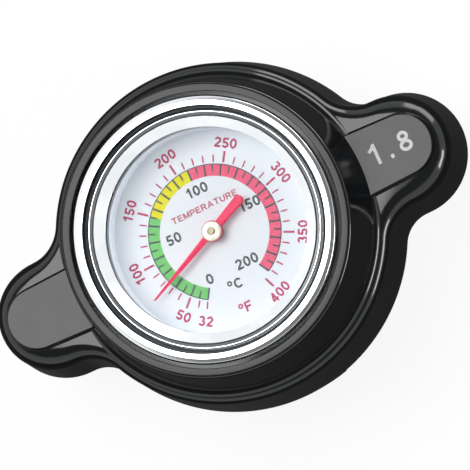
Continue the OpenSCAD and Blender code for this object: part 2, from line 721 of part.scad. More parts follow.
// the light spring that holds the vacuum valve shut
vac_lo = plate_top_z + vac_wire / 2;
vac_hi = plate_top_z + vac_spring_h - vac_wire / 2;
module vacuum_spring() {
    color("#b7bbc0") skin(coil_rings(vac_turns, vac_mean_r, vac_lo, vac_hi, vac_wire / 2, vac_wire / 2),
        fan(wire_sides));
}

// the collar on the stem that the vacuum spring pushes up
module vacuum_collar() {
    color("#c9a24e") band(vac_stem_r, vac_mean_r + vac_wire + 0.2, vac_top_z - vac_collar_t, vac_collar_t);
}

echo(str("least gap of the pressure spring ",
    least_gap(coil_centres(spring_turns, spring_mean_r, spring_lo, spring_hi), spring_wire)));
echo(str("least gap of the vacuum spring ",
    least_gap(coil_centres(vac_turns, vac_mean_r, vac_lo, vac_hi), vac_wire)));
echo(str("least gap of the bimetal coil ",
    least_gap(coil_centres(coil_turns, coil_r, coil_z, coil_end_z), strip_w)));

grip_body();
cap_shell();
gauge_bezel();
glass_lens();
lens_gasket();
spacer_ring();
dial_plate();
gauge_case();
case_seal();
probe_tube();
probe_plug();
bimetal_coil();
upper_bush();
lower_bush();
spindle();
pointer();
pointer_boss();
probe_washer();
probe_nut();
disc_spring();
neck_gasket();
spring_cup();
valve_guide();
pressure_spring();
valve_sleeve();
pressure_plate();
pressure_seal();
seal_clamp();
vacuum_valve();
vacuum_facing();
vacuum_spring();
vacuum_collar();
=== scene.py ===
import math

import bmesh
import bpy
from mathutils import Euler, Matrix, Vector


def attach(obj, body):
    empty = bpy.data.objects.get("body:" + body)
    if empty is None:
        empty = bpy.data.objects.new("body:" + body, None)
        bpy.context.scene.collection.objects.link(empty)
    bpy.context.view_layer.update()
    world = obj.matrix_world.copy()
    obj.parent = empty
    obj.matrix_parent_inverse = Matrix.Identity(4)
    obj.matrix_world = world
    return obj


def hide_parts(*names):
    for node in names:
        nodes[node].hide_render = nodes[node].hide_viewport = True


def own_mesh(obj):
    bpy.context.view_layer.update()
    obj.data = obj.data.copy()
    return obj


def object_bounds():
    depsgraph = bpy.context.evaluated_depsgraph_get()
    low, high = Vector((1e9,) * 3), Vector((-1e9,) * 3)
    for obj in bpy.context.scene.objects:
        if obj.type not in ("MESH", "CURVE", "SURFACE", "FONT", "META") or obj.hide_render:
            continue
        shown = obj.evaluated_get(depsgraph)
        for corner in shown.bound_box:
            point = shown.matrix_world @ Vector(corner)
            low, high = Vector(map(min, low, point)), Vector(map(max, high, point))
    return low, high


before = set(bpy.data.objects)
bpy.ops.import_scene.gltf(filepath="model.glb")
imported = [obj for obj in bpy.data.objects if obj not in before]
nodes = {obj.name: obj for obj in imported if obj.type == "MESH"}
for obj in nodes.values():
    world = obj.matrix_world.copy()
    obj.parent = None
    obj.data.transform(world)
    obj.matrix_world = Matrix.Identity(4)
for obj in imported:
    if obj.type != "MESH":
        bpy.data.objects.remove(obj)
cadBox = [list(corner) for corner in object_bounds()]
mm = 0.001
print("frame loaded with", len(nodes), "nodes")


def linearColour(text):  # text is an sRGB hex value
    parts = [int(text[i:i + 2], 16) / 255 for i in (1, 3, 5)]
    return [c / 12.92 if c <= 0.04045 else ((c + 0.055) / 1.055) ** 2.4 for c in parts] + [1.0]


def addNode(tree, kind, settings, links=()):
    node = tree.nodes.new("ShaderNode" + kind)
    for key, value in settings.items():
        if isinstance(key, int) or key in node.inputs:
            node.inputs[key].default_value = value
        else:
            setattr(node, key, value)
    for socket, source in links:
        tree.links.new(source, node.inputs[socket])
    return node


def newFinish(name, sockets):
    material = bpy.data.materials.new(name)
    material.use_nodes = True
    surface = material.node_tree.nodes["Principled BSDF"]
    for socket, value in sockets.items():
        surface.inputs[socket].default_value = value
    return material, material.node_tree, surface


def weathered(tree, surface, look, place, pattern):
    # patches vary the colour and the gloss, the pattern raises a fine grain; sizes are in mm, and the noise
    # seldom leaves the range from 0.3 to 0.7
    patches = addNode(tree, "TexNoise", {"Scale": 1 / (look["patch"] * mm), "Detail": 4.0},
                      [("Vector", place.outputs["Object"])])
    tint = addNode(tree, "MapRange", {1: 0.3, 2: 0.7}, [(0, patches.outputs["Fac"])])
    colour = addNode(tree, "Mix", {"data_type": "RGBA", 6: linearColour(look["dark"]),
                                   7: linearColour(look["light"])}, [(0, tint.outputs[0])])
    tree.links.new(colour.outputs[2], surface.inputs["Base Color"])
    gloss = addNode(tree, "MapRange", {1: 0.3, 2: 0.7, 3: look["rough"][0], 4: look["rough"][1]},
                    [(0, patches.outputs["Fac"])])
    tree.links.new(gloss.outputs[0], surface.inputs["Roughness"])
    bump = addNode(tree, "Bump", {"Strength": look["bump"], "Distance": look["depth"] * mm},
                   [("Height", pattern.outputs["Fac"])])
    tree.links.new(bump.outputs["Normal"], surface.inputs["Normal"])


def mottled(tree, surface, look):  # an even grain in every direction
    place = addNode(tree, "TexCoord", {})
    grain = addNode(tree, "TexNoise", {"Scale": 1 / (look["grain"] * mm), "Detail": 3.0},
                    [("Vector", place.outputs["Object"])])
    weathered(tree, surface, look, place, grain)


def turned(tree, surface, look):  # fine rings round the axis, as a lathe or a drawing die leaves them
    place = addNode(tree, "TexCoord", {})
    apart = addNode(tree, "SeparateXYZ", {}, [("Vector", place.outputs["Object"])])
    flat = addNode(tree, "CombineXYZ", {"Z": 0.0}, [("X", apart.outputs["X"]), ("Y", apart.outputs["Y"])])
    radius = addNode(tree, "VectorMath", {"operation": "LENGTH"}, [(0, flat.outputs[0])])
    across = addNode(tree, "CombineXYZ", {"Y": 0.0}, [("X", radius.outputs["Value"]), ("Z", apart.outputs["Z"])])
    rings = addNode(tree, "TexNoise", {"Scale": 1 / (look["grain"] * mm), "Detail": 2.0},
                    [("Vector", across.outputs[0])])
    weathered(tree, surface, look, place, rings)


# glass-filled nylon from a polished tool: near black, mirrors lamps softly
glossyNylon, tree, surface = newFinish("glossyNylon", {"IOR": 1.5, "Specular IOR Level": 0.52})
mottled(tree, surface, {"dark": "#08090a", "light": "#0e0f10", "patch": 7, "grain": 0.5, "rough": (0.1, 0.15),
                        "bump": 0.04, "depth": 0.02})

# the same nylon off a finely etched insert: the flat pads look a little duller
etchedNylon, tree, surface = newFinish("etchedNylon", {"IOR": 1.5, "Specular IOR Level": 0.42})
mottled(tree, surface, {"dark": "#0d0e0f", "light": "#131415", "patch": 4, "grain": 0.2, "rough": (0.2, 0.25),
                        "bump": 0.06, "depth": 0.01})

# the collar's narrow top ring, scuffed by hands: duller again
scuffedNylon, tree, surface = newFinish("scuffedNylon", {"IOR": 1.5, "Specular IOR Level": 0.34})
mottled(tree, surface, {"dark": "#0d0e0f", "light": "#131415", "patch": 4, "grain": 0.2, "rough": (0.22, 0.28),
                        "bump": 0.06, "depth": 0.01})

# chrome plate over brass: bright, hard edged reflections, faint haze from polishing
chromePlate, tree, surface = newFinish("chromePlate", {"Metallic": 1.0})
mottled(tree, surface, {"dark": "#e4e6e8", "light": "#f2f4f5", "patch": 6, "grain": 0.8, "rough": (0.1, 0.14),
                        "bump": 0.02, "depth": 0.01})

# the same plate in its grooves and crease, darker and duller: painted shade for the deep groove's shadow
shadedGrooveChrome, tree, surface = newFinish("shadedGrooveChrome", {"Metallic": 1.0})
mottled(tree, surface, {"dark": "#2e3032", "light": "#484a4c", "patch": 1.5, "grain": 0.3, "rough": (0.4, 0.55),
                        "bump": 0.1, "depth": 0.01})

# thin float glass, clear: hardly bends what is behind it and mirrors a little
clearGlass, tree, surface = newFinish("clearGlass", {"Base Color": linearColour("#fbfdff"), "Roughness": 0.01,
                                                     "IOR": 1.12, "Transmission Weight": 1.0})
rays = addNode(tree, "LightPath", {})
passing = addNode(tree, "Math", {"operation": "MAXIMUM"},
                  [(0, rays.outputs["Is Shadow Ray"]), (1, rays.outputs["Is Diffuse Ray"])])
clear = addNode(tree, "BsdfTransparent", {})
both = addNode(tree, "MixShader", {}, [(0, passing.outputs[0]), (1, surface.outputs[0]), (2, clear.outputs[0])])
tree.links.new(both.outputs[0], tree.nodes["Material Output"].inputs["Surface"])

# baked enamel on the dial: cool white, satin, with a trace of orange peel
dialEnamel, tree, surface = newFinish("dialEnamel", {"IOR": 1.5, "Specular IOR Level": 0.2})
mottled(tree, surface, {"dark": "#e9edf1", "light": "#eef1f4", "patch": 9, "grain": 0.3, "rough": (0.5, 0.58),
                        "bump": 0.04, "depth": 0.01})


def screenInk(name, text):  # screen print: flat colour, slightly uneven where the mesh left it
    deeper = "#" + "".join("%02x" % int(int(text[i:i + 2], 16) * 0.95) for i in (1, 3, 5))
    ink, tree, surface = newFinish(name, {"IOR": 1.45, "Specular IOR Level": 0.15})
    mottled(tree, surface, {"dark": deeper, "light": text, "patch": 0.6, "grain": 0.15, "rough": (0.6, 0.7),
                            "bump": 0.02, "depth": 0.01})
    return ink


inks = {
    "green": screenInk("greenInk", "#7cd278"),
    "yellow": screenInk("yellowInk", "#eee62a"),
    "red": screenInk("redInk", "#fa6a88"),
    "slate": screenInk("slateInk", "#596166"),
    "berry": screenInk("berryInk", "#c35272"),
    "white": screenInk("paleInk", "#c8c8c8"),
}

# satin enamel on the pointer: clear red with a soft sheen
pointerEnamel, tree, surface = newFinish("pointerEnamel", {"IOR": 1.5, "Specular IOR Level": 0.2})
mottled(tree, surface, {"dark": "#e62a55", "light": "#f23a65", "patch": 3, "grain": 0.2, "rough": (0.4, 0.48),
                        "bump": 0.03, "depth": 0.01})

# dull nickel on the boss: pale and warm, with fine turning rings
dullNickel, tree, surface = newFinish("dullNickel", {"Metallic": 0.3})
turned(tree, surface, {"dark": "#a9a593", "light": "#dcd7c8", "patch": 0.5, "grain": 0.12, "rough": (0.35, 0.5),
                       "bump": 0.15, "depth": 0.01})

# the riveted end of the spindle: browned steel
brownedSteel, tree, surface = newFinish("brownedSteel", {"Metallic": 0.5})
mottled(tree, surface, {"dark": "#6f6048", "light": "#a2957b", "patch": 0.4, "grain": 0.1, "rough": (0.4, 0.55),
                        "bump": 0.2, "depth": 0.01})

# moulded polystyrene spacer: pale, slightly blue, soft
palePolystyrene, tree, surface = newFinish("palePolystyrene", {"IOR": 1.55, "Specular IOR Level": 0.3})
mottled(tree, surface, {"dark": "#dde5ee", "light": "#e8eef5", "patch": 4, "grain": 0.3, "rough": (0.4, 0.5),
                        "bump": 0.05, "depth": 0.02})

# bright zinc over pressed steel: cool grey with faint crystalline patches
brightZinc, tree, surface = newFinish("brightZinc", {"Metallic": 1.0})
mottled(tree, surface, {"dark": "#a9aeb4", "light": "#c6cacf", "patch": 2.5, "grain": 0.4, "rough": (0.24, 0.4),
                        "bump": 0.12, "depth": 0.02})

# stainless sheet, deep drawn: fine rings round the axis
drawnStainless, tree, surface = newFinish("drawnStainless", {"Metallic": 1.0})
turned(tree, surface, {"dark": "#b4b8bc", "light": "#cdd0d4", "patch": 4, "grain": 0.3, "rough": (0.2, 0.34),
                       "bump": 0.15, "depth": 0.02})

# oil-tempered spring wire: darker grey, drawn smooth
springWire, tree, surface = newFinish("springWire", {"Metallic": 1.0})
mottled(tree, surface, {"dark": "#7d8288", "light": "#979ca2", "patch": 3, "grain": 0.25, "rough": (0.24, 0.36),
                        "bump": 0.08, "depth": 0.01})

# turned brass: yellow, with tool rings and a little tarnish
turnedBrass, tree, surface = newFinish("turnedBrass", {"Metallic": 1.0})
turned(tree, surface, {"dark": "#a9842f", "light": "#cda552", "patch": 3, "grain": 0.28, "rough": (0.18, 0.32),
                       "bump": 0.2, "depth": 0.02})

# oil-soaked sintered bronze bushes: dark and dull
sinteredBronze, tree, surface = newFinish("sinteredBronze", {"Metallic": 0.8})
mottled(tree, surface, {"dark": "#3a352f", "light": "#554c42", "patch": 0.8, "grain": 0.1, "rough": (0.5, 0.65),
                        "bump": 0.3, "depth": 0.02})

# rolled bimetal: dull copper
rolledBimetal, tree, surface = newFinish("rolledBimetal", {"Metallic": 1.0})
mottled(tree, surface, {"dark": "#8f6543", "light": "#b0805a", "patch": 1.5, "grain": 0.2, "rough": (0.34, 0.5),
                        "bump": 0.1, "depth": 0.01})

# moulded nitrile rubber: matt black, a bloom of grey
nitrileRubber, tree, surface = newFinish("nitrileRubber", {"IOR": 1.52})
mottled(tree, surface, {"dark": "#101112", "light": "#1d1e20", "patch": 5, "grain": 0.2, "rough": (0.55, 0.75),
                        "bump": 0.2, "depth": 0.02})
print("finishes made")


def newPiece(name, points, faces, finish, body, sharp=32, even=True):
    mesh = bpy.data.meshes.new(name)
    mesh.from_pydata([Vector(p) * mm for p in points], [], faces)
    shape = bmesh.new()
    shape.from_mesh(mesh)
    bmesh.ops.remove_doubles(shape, verts=shape.verts, dist=1e-8)  # metres: only points that coincide
    bmesh.ops.recalc_face_normals(shape, faces=shape.faces)
    shape.to_mesh(mesh)
    shape.free()
    mesh.polygons.foreach_set("use_smooth", [True] * len(mesh.polygons))
    mesh.set_sharp_from_angle(angle=math.radians(sharp))
    mesh.materials.append(finish)
    piece = bpy.data.objects.new(name, mesh)
    bpy.context.scene.collection.objects.link(piece)
    if even:  # flats stay flat beside their rounded edges
        piece.modifiers.new("evenFlats", "WEIGHTED_NORMAL").keep_sharp = True
    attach(piece, body)
    return piece


def arcPoints(centre, radius, start, end, steps):  # from start to end, in degrees
    turns = [math.radians(start + (end - start) * i / steps) for i in range(steps + 1)]
    return [(centre[0] + radius * math.cos(a), centre[1] + radius * math.sin(a)) for a in turns]


def softProfile(corners, steps=5):  # rounds each (x, y, radius) corner of a closed outline
    points = []
    for i, (x, y, radius) in enumerate(corners):
        here = Vector((x, y))
        before = (Vector(corners[i - 1][:2]) - here).normalized()
        after = (Vector(corners[(i + 1) % len(corners)][:2]) - here).normalized()
        half = before.angle(after) / 2
        if radius <= 0 or half > 1.56:  # asked to stay sharp, or hardly a corner
            points.append((x, y))
            continue
        back = radius / math.tan(half)
        centre = here + (before + after).normalized() * (radius / math.sin(half))
        first = (here + before * back - centre).normalized()
        last = (here + after * back - centre).normalized()
        for k in range(steps + 1):
            spoke = first.slerp(last, k / steps) * radius
            points.append((centre.x + spoke.x, centre.y + spoke.y))
    return points


def turnProfile(profile, segments=256):  # a closed (radius, height) profile turned round Z
    points, faces, count = [], [], len(profile)
    for s in range(segments):
        angle = 2 * math.pi * s / segments
        points += [(r * math.cos(angle), r * math.sin(angle), z) for r, z in profile]
    for s in range(segments):
        here, there = s * count, (s + 1) % segments * count
        faces += [(here + k, here + (k + 1) % count, there + (k + 1) % count, there + k) for k in range(count)]
    return points, faces


def joinParts(parts):
    points, faces = [], []
    for partPoints, partFaces in parts:
        start = len(points)
        points += partPoints
        faces += [tuple(start + i for i in face) for face in partFaces]
    return points, faces


def loftRings(rings, caps=()):  # faces between rings of one length; caps names the ends to close
    count = len(rings[0])
    points = [p for ring in rings for p in ring]
    faces = []
    for k in range(len(rings) - 1):
        here, there = k * count, (k + 1) * count
        faces += [(here + i, here + (i + 1) % count, there + (i + 1) % count, there + i) for i in range(count)]
    starts = {"first": 0, "last": len(points) - count}
    return points, faces + [tuple(range(starts[cap], starts[cap] + count)) for cap in caps]


view = {"place": (106.57, -82.222, 604.827), "turn": (2.8548, 12.1743, -24.4481), "lens": 295.33}
cameraData = bpy.data.cameras.new("camera")
cameraData.lens = view["lens"]
cameraData.sensor_width = 36
cameraData.clip_start = 0.01
camera = bpy.data.objects.new("camera", cameraData)
camera.location = Vector(view["place"]) * mm
camera.rotation_euler = Euler([math.radians(a) for a in view["turn"]], "XYZ")
bpy.context.scene.collection.objects.link(camera)
bpy.context.scene.camera = camera
bpy.context.scene.view_settings.view_transform = "Standard"

# azimuth and height in degrees, distance and size in metres, glow in units of white
lamps = {
    "softbox": {"azimuth": 133, "height": 70, "distance": 0.55, "size": (0.4, 0.4), "glow": 5.3,
                "shape": "ELLIPSE"},
    "sideStrip": {"azimuth": -34, "height": 16, "distance": 0.5, "size": (0.24, 0.1), "glow": 11,
                  "shape": "RECTANGLE"},
    "backCard": {"azimuth": 42, "height": 16, "distance": 0.5, "size": (0.4, 0.2), "glow": 4.5,
                 "shape": "RECTANGLE"},
}
for lampName, lamp in lamps.items():
    data = bpy.data.lights.new(lampName, "AREA")
    data.shape = lamp["shape"]
    data.size, data.size_y = lamp["size"]
    area = data.size * data.size_y * (math.pi / 4 if data.shape == "ELLIPSE" else 1)
    data.energy = lamp["glow"] * math.pi * area
    holder = bpy.data.objects.new(lampName, data)
    a, h = math.radians(lamp["azimuth"]), math.radians(lamp["height"])
    way = Vector((math.cos(a) * math.cos(h), math.sin(a) * math.cos(h), math.sin(h)))
    holder.location = way * lamp["distance"]
    holder.rotation_euler = way.to_track_quat("Z", "Y").to_euler()
    bpy.context.scene.collection.objects.link(holder)

# what lights the piece from the room: pale walls to about 30 degrees up and a dim ceiling; the camera sees white
room = {"high": 0.5, "fade": 0.13, "walls": 1.2, "top": 0.23}
world = bpy.data.worlds.new("studio")
bpy.context.scene.world = world
world.use_nodes = True
worldTree = world.node_tree
background = worldTree.nodes["Background"]
background.inputs["Color"].default_value = linearColour("#f4f6f8")
heading = addNode(worldTree, "TexCoord", {})
up = addNode(worldTree, "SeparateXYZ", {}, [("Vector", heading.outputs["Generated"])])
wall = addNode(worldTree, "MapRange", {"interpolation_type": "SMOOTHSTEP", 1: room["high"],
                                       2: room["high"] + room["fade"], 3: room["walls"], 4: room["top"]},
               [(0, up.outputs["Z"])])
worldRays = addNode(worldTree, "LightPath", {})
shown = addNode(worldTree, "Mix", {"data_type": "FLOAT", 3: 1.0},
                [(0, worldRays.outputs["Is Camera Ray"]), (2, wall.outputs[0])])
worldTree.links.new(shown.outputs[0], background.inputs["Strength"])

# radii of the floor's rings and its drop below the part in mm, and how much it glows to the eye and in mirrors
floorLook = {"radii": (900, 200, 60, 1), "drop": 0.02, "seen": 0.86, "mirrored": 0.03}
floorZ = cadBox[0][2] / mm - floorLook["drop"]
rings = [[(x, y, floorZ) for x, y in arcPoints((0, 0), r, 0, 355, 71)] for r in floorLook["radii"]]
floorPoints, floorFaces = loftRings(rings, ["last"])
floorMesh = bpy.data.meshes.new("floor")
floorMesh.from_pydata([Vector(p) * mm for p in floorPoints], [], floorFaces)
floor = bpy.data.objects.new("floor", floorMesh)
bpy.context.scene.collection.objects.link(floor)
# paper sweep: matt, a lit page to the eye
paper, tree, surface = newFinish("paperSweep", {"Specular IOR Level": 0.1})
mottled(tree, surface, {"dark": "#eeeeee", "light": "#f4f4f4", "patch": 40, "grain": 1.5, "rough": (0.85, 0.95),
                        "bump": 0.05, "depth": 0.05})
rays = addNode(tree, "LightPath", {})
# metal, glass and undersides see a much dimmer sweep, which keeps the black nylon black
pale = surface.inputs["Base Color"].links[0].from_socket
dimmer = addNode(tree, "Mix", {"data_type": "RGBA", 6: linearColour("#2a2a2a")},
                 [(0, rays.outputs["Is Camera Ray"]), (7, pale)])
tree.links.new(dimmer.outputs[2], surface.inputs["Base Color"])
mirrored = addNode(tree, "Math", {"operation": "MAXIMUM"},
                   [(0, rays.outputs["Is Glossy Ray"]), (1, rays.outputs["Is Transmission Ray"])])
mirrored = addNode(tree, "Math", {"operation": "MULTIPLY", 1: floorLook["mirrored"]}, [(0, mirrored.outputs[0])])
share = addNode(tree, "Mix", {"data_type": "FLOAT", 3: floorLook["seen"]},
                [(0, rays.outputs["Is Camera Ray"]), (2, mirrored.outputs[0])])
glow = addNode(tree, "Emission", {"Color": (1, 1, 1, 1), "Strength": 1.0})
both = addNode(tree, "MixShader", {}, [(0, share.outputs[0]), (1, surface.outputs[0]), (2, glow.outputs[0])])
tree.links.new(both.outputs[0], tree.nodes["Material Output"].inputs["Surface"])
floorMesh.materials.append(paper)
print("camera, floor and light set")


# all lengths in mm and angles in degrees; Z is a height, R a radius
grip = {
    "bodyR": 28.3, "earX": 30.8, "earR": 10, "cornerR": 5.4, "flangeZ": 9.7, "skirtZ": -2.7, "breakW": 0.3,
    "draft": 1.1, "edgeR": 1.9, "endEdgeR": 3.4, "blend": 10, "shellBore": 24.55, "webZ": 3.4,
    "crownFrom": 19, "crownFull": 31, "crownSide": 5.5, "crownFlat": 4.5,
    "collarTop": 20.1, "collarR": 23.163, "collarFoot": 25.39, "collarEdge": 0.7, "recessEdge": 0.14,
    "footFillet": 1.6, "footTilt": 20, "footDip": 0.006, "footDeep": 1.5,
    "recessR": 21.65, "stepZ": 16.2, "caseBore": 19.05, "caseEdge": 0.1, "wellGap": 1.2, "wellDeep": 2,
    "seatZ": 9.0, "shankHole": 4.05,
    "padX": 32.4, "padR": 5.0, "padTaper": 2.2, "padZ": 10.6, "padSlope": 0.42, "padFoot": 0.6, "padEdge": 0.1,
    "padSunk": 0.05, "padIn": 1, "padFrom": 24,
    "pocketR": 7.4, "pocketZ": 6.9, "pocketX": 27.3, "pocketDraft": 0.992, "rib": 2.0,
    "apronOut": 27.8, "apronIn": 24.55, "apronZ": -7.5, "apronTop": 1, "apronHalf": 14.5,
}


def gripOutline(inset):  # the plan of the body and both ears, moved in by inset
    cornerY = grip["earR"] + grip["cornerR"]
    cornerX = math.sqrt((grip["bodyR"] + grip["cornerR"]) ** 2 - cornerY ** 2)
    meet = math.degrees(math.atan2(cornerY, cornerX))
    quarter = arcPoints((grip["earX"], 0), grip["earR"] - inset, 0, 90, 40)
    quarter += arcPoints((cornerX, cornerY), grip["cornerR"] + inset, 270, 180 + meet, 20)[1:]
    quarter += arcPoints((0, 0), grip["bodyR"] - inset, meet, 90, 60)[1:]
    half = quarter + [(-x, y) for x, y in reversed(quarter[:-1])]
    return half + [(x, -y) for x, y in reversed(half[1:-1])]


def edgeAt(x):  # the upper edge's radius, which widens towards the ears' ends
    t = max(0, min(1, (abs(x) - grip["earX"] - grip["earR"] / 3 + grip["blend"]) / grip["blend"]))
    return grip["edgeR"] + (grip["endEdgeR"] - grip["edgeR"]) * t * t * (3 - 2 * t)


def crown(x, y):  # how far an ear's top falls away towards its sides
    t = max(0, min(1, (abs(x) - grip["crownFrom"]) / (grip["crownFull"] - grip["crownFrom"])))
    side = max(abs(y) - grip["crownFlat"], 0) * math.tan(math.radians(grip["crownSide"]))
    return side * t * t * (3 - 2 * t)


def earTop(x, y):  # height of an ear's top and of its rounded edge
    edge = edgeAt(x)
    inside = grip["earR"] - grip["draft"] - math.hypot(max(abs(x) - grip["earX"], 0), y)
    return grip["flangeZ"] - crown(x, y) - edge + math.sqrt(max(edge ** 2 - max(edge - inside, 0) ** 2, 0))


def padRing(inset, side):  # a pad's plan, moved in by inset
    end = arcPoints((grip["padX"], 0), grip["padR"] - inset, grip["padTaper"] - 90, 90 - grip["padTaper"], 48)
    inX = grip["collarR"] - grip["padIn"]
    inY = end[-1][1] + (end[-1][0] - inX) * math.tan(math.radians(grip["padTaper"]))
    return [(side * x, side * y) for x, y in [(inX, -inY)] + end + [(inX, inY)]]


def makeGrip():
    skirt, top = grip["skirtZ"], grip["flangeZ"]
    base, inward = gripOutline(0), gripOutline(1)
    # rings up the outside: the skirt's broken edge, the drafted side and the rounded upper edge
    steps = [("break", math.radians(a)) for a in (0, 30, 60, 90)] + [("side", t) for t in (0.25, 0.5, 0.75)]
    steps += [("edge", math.radians(a)) for a in range(0, 91, 5)]
    rings = []
    for part, t in steps:
        ring = []
        for (x, y), (innerX, innerY) in zip(base, inward):
            edge = edgeAt(x)
            if part == "break":
                inset, z = grip["breakW"] * (1 - math.sin(t)), skirt + grip["breakW"] * (1 - math.cos(t))
            elif part == "side":
                low = skirt + grip["breakW"]
                inset, z = grip["draft"] * t, low + (top - edge - low) * t
            else:
                inset, z = grip["draft"] + edge * (1 - math.cos(t)), top - edge * (1 - math.sin(t))
            x, y = x + (innerX - x) * inset, y + (innerY - y) * inset
            ring.append((x, y, z - crown(x, y) * (0 if part == "break" else t if part == "side" else 1)))
        rings.append(ring)
    wellR = grip["caseBore"] + grip["wellGap"]
    around = [math.atan2(y, x) for x, y in base]
    edgeRing = rings[-1]
    # rings across the top to the well, closest by the edge, then down the well and the shell's bore to the skirt
    for t in (0.06, 0.14, 0.24, 0.36, 0.5, 0.75):
        ring = [(x + (wellR * math.cos(a) - x) * t, y + (wellR * math.sin(a) - y) * t)
                for (x, y, _), a in zip(edgeRing, around)]
        rings.append([(x, y, top - crown(x, y)) for x, y in ring])
    for radius, z in ((wellR, top), (wellR, grip["webZ"]), (grip["shellBore"], grip["webZ"]),
                      (grip["shellBore"], skirt)):
        rings.append([(radius * math.cos(a), radius * math.sin(a), z) for a in around])
    parts = [loftRings(rings)]

    # the flat underside between the skirt's edge, the shell's bore and the four pockets
    reach = math.sqrt(grip["pocketR"] ** 2 - grip["rib"] ** 2 / 4)
    pocket = [(grip["pocketX"], grip["rib"] / 2), (grip["earX"] + reach, grip["rib"] / 2)]
    pocket += arcPoints((grip["earX"], 0), grip["pocketR"], 9, 90, 24) + [(grip["pocketX"], grip["pocketR"])]
    pockets = [[(sx * x, sy * y, skirt) for x, y in pocket] for sx in (1, -1) for sy in (1, -1)]
    shape = bmesh.new()
    edges = []
    for loop in [rings[0], rings[-1]] + pockets:
        corners = [shape.verts.new((x, y, skirt)) for x, y, _ in loop]
        edges += [shape.edges.new((corners[i - 1], corners[i])) for i in range(len(corners))]
    bmesh.ops.triangle_fill(shape, edges=edges, use_beauty=True)
    shape.verts.index_update()
    parts.append(([tuple(v.co) for v in shape.verts], [tuple(v.index for v in f.verts) for f in shape.faces]))
    shape.free()
    for loop in pockets:
        roof = [(x * grip["pocketDraft"], y, grip["pocketZ"]) for x, y, _ in loop]
        parts.append(loftRings([loop, roof], ["last"]))

    # the collar with its recess and the seat inside, and a wide fillet that runs out on the rounded edge
    tilt = math.radians(grip["footTilt"])
    runOut = (grip["bodyR"] - grip["draft"] - grip["edgeR"] * (1 - math.sin(tilt)),
              top - grip["edgeR"] * (1 - math.cos(tilt)) - grip["footDip"])
    profile = softProfile([
        (wellR, grip["seatZ"] - grip["wellDeep"], 0), (runOut[0], top - grip["footDeep"], 0),
        (runOut[0], runOut[1], 0),
        (grip["collarFoot"], runOut[1] + (runOut[0] - grip["collarFoot"]) * math.tan(tilt), grip["footFillet"]),
        (grip["collarR"], grip["collarTop"], grip["collarEdge"]),
        (grip["recessR"], grip["collarTop"], grip["recessEdge"]),
        (grip["recessR"], grip["stepZ"], 0), (grip["caseBore"], grip["stepZ"], grip["caseEdge"]),
        (grip["caseBore"], grip["seatZ"], 0), (grip["shankHole"], grip["seatZ"], 0),
        (grip["shankHole"], grip["webZ"], 0), (wellR, grip["webZ"], 0)], steps=9)
    parts.append(turnProfile(profile, segments=288))

    # the two pads: a steep side that follows the ear's top, and a soft edge
    slope, foot, soft = grip["padSlope"], grip["padFoot"], grip["padEdge"]
    for side in (1, -1):
        padRings = []
        for share in (0, 0.15, 0.5, 1):
            outline = padRing(slope * (share - foot), side)
            padRings.append([(x, y, (earTop(x, y) - grip["padSunk"]) * (1 - share)
                              + (grip["padZ"] - soft) * share) for x, y in outline])
        for a in (math.radians(t) for t in (30, 50, 70, 90)):
            outline = padRing(slope * (1 - foot) + soft * (1 - math.cos(a)), side)
            padRings.append([(x, y, grip["padZ"] - soft * (1 - math.sin(a))) for x, y in outline])
        parts.append(loftRings(padRings, ["last"]))

    # the two aprons over the shell's tabs
    section = softProfile([(grip["apronIn"], grip["apronZ"], 0.3), (grip["apronOut"], grip["apronZ"], 0.4),
                           (grip["apronOut"], grip["apronTop"], 0), (grip["apronIn"], grip["apronTop"], 0)])
    for middle in (90, 270):
        turns = [math.radians(middle + grip["apronHalf"] * k / 14) for k in range(-14, 15)]
        apronRings = [[(r * math.cos(a), r * math.sin(a), z) for r, z in section] for a in turns]
        parts.append(loftRings(apronRings, ["first", "last"]))
    points, faces = joinParts(parts)
    piece = newPiece("moulded_grip", points, faces, glossyNylon, "cap_body", sharp=28)
    piece.data.materials.append(etchedNylon)
    piece.data.materials.append(scuffedNylon)
    for face in piece.data.polygons:
        x, z = abs(face.center.x) / mm, face.center.z / mm
        if z > grip["collarTop"] - 0.01:
            face.material_index = 2
        elif z > grip["padZ"] - 0.01 and x > grip["padFrom"]:
            face.material_index = 1
    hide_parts("grip_body")


makeGrip()
print("grip made")


bezel = {
    "viewR": 16.15, "outR": 21.05, "rimZ": 19.1, "rise": 2.0, "lensTop": 18.8, "seatD": 1.1, "seatW": 2.15,
    "bevelW": 1.55, "bevelRise": 1.17, "creaseW": 0.21, "creaseD": 0.15,
    "ridgeX": 18.46, "ridgeW": 0.5, "ridgeSlope": 22, "crestR": 0.25, "grooveD": 1.3, "grooveDraft": 0.06,
    "topIn": 19.42, "topOut": 20.2, "topDip": 0.05, "shoulder": 0.6, "shoulderSlope": 25, "rollR": 0.85,
    # the last two keys on the next line set how far the painted groove shade reaches: down the groove and up the
    # crease
    "edgeR": 0.2, "sideTop": 0.3, "sheet": 0.55, "footZ": 15.65, "shadeD": 0.1, "shadeUp": 0.3,
}


